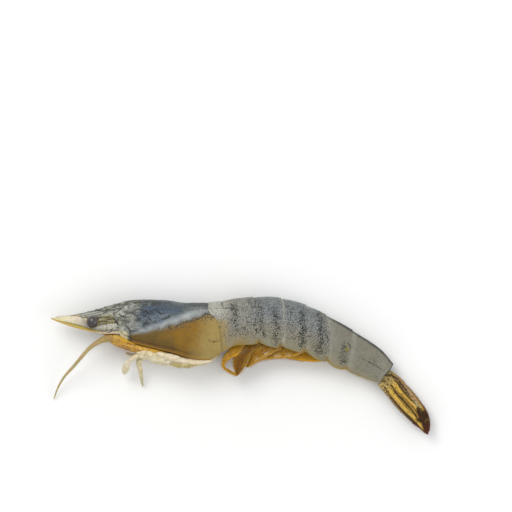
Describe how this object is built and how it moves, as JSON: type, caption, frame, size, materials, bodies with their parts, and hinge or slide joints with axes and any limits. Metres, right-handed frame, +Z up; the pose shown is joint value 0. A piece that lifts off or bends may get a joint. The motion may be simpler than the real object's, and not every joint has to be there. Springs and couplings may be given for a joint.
{
  "type": "raw tiger prawn",
  "caption": "Raw prawn with its head on, lying on its side: banded shell, folded tail fan, feeler, walking legs and swimmerets.",
  "frame": {"origin": "middle of the bounding box's bottom, on the surface that the prawn lies on", "axes": "+X from the head to the tail, +Y towards the back, +Z up from the surface, which is the prawn's left side"},
  "size_m": [0.1524, 0.0556, 0.0181],
  "materials": {
    "carapace": "wet translucent shell, blue-grey above and golden olive below",
    "abdomen_shell": "wet translucent grey shell with soft speckled bands",
    "eye": "glossy purple-black",
    "antennal_scale": "pearly cream with a golden rim",
    "mouthparts": "golden orange, moist",
    "feeler": "straw, satin",
    "walking_leg": "cream, moist",
    "swimmeret": "golden brown, moist",
    "tail_fan": "gold-beige with dark ridges and rust-red tips"
  },
  "bodies": {
    "root": {"abdomen_1": "abdomen_shell", "abdomen_2": "abdomen_shell", "abdomen_3": "abdomen_shell", "abdomen_4": "abdomen_shell", "abdomen_5": "abdomen_shell", "abdomen_6": "abdomen_shell", "antenna_base_left": "mouthparts", "antenna_base_right": "mouthparts", "antennal_scale_left": "antennal_scale", "antennal_scale_right": "antennal_scale", "antennule_left": "antennal_scale", "antennule_right": "antennal_scale", "carapace": "carapace", "eye_left": "eye", "eye_right": "eye", "feeler": "feeler", "leg_1_left": "walking_leg", "leg_1_right": "walking_leg", "leg_2_left": "walking_leg", "leg_2_right": "walking_leg", "leg_3_left": "walking_leg", "leg_3_right": "walking_leg", "leg_4_left": "walking_leg", "leg_4_right": "walking_leg", "leg_5_left": "walking_leg", "leg_5_right": "walking_leg", "mouth_leg_left": "mouthparts", "mouth_leg_right": "mouthparts", "mouthparts": "mouthparts", "swimmeret_1_left": "swimmeret", "swimmeret_1_right": "swimmeret", "swimmeret_2_left": "swimmeret", "swimmeret_2_right": "swimmeret", "swimmeret_3_left": "swimmeret", "swimmeret_3_right": "swimmeret", "swimmeret_4_left": "swimmeret", "swimmeret_4_right": "swimmeret", "swimmeret_5_left": "swimmeret", "swimmeret_5_right": "swimmeret", "tail_blade_inner_left": "tail_fan", "tail_blade_inner_right": "tail_fan", "tail_blade_outer_left": "tail_fan", "tail_blade_outer_right": "tail_fan", "telson": "tail_fan"}
  },
  "joints": []
}
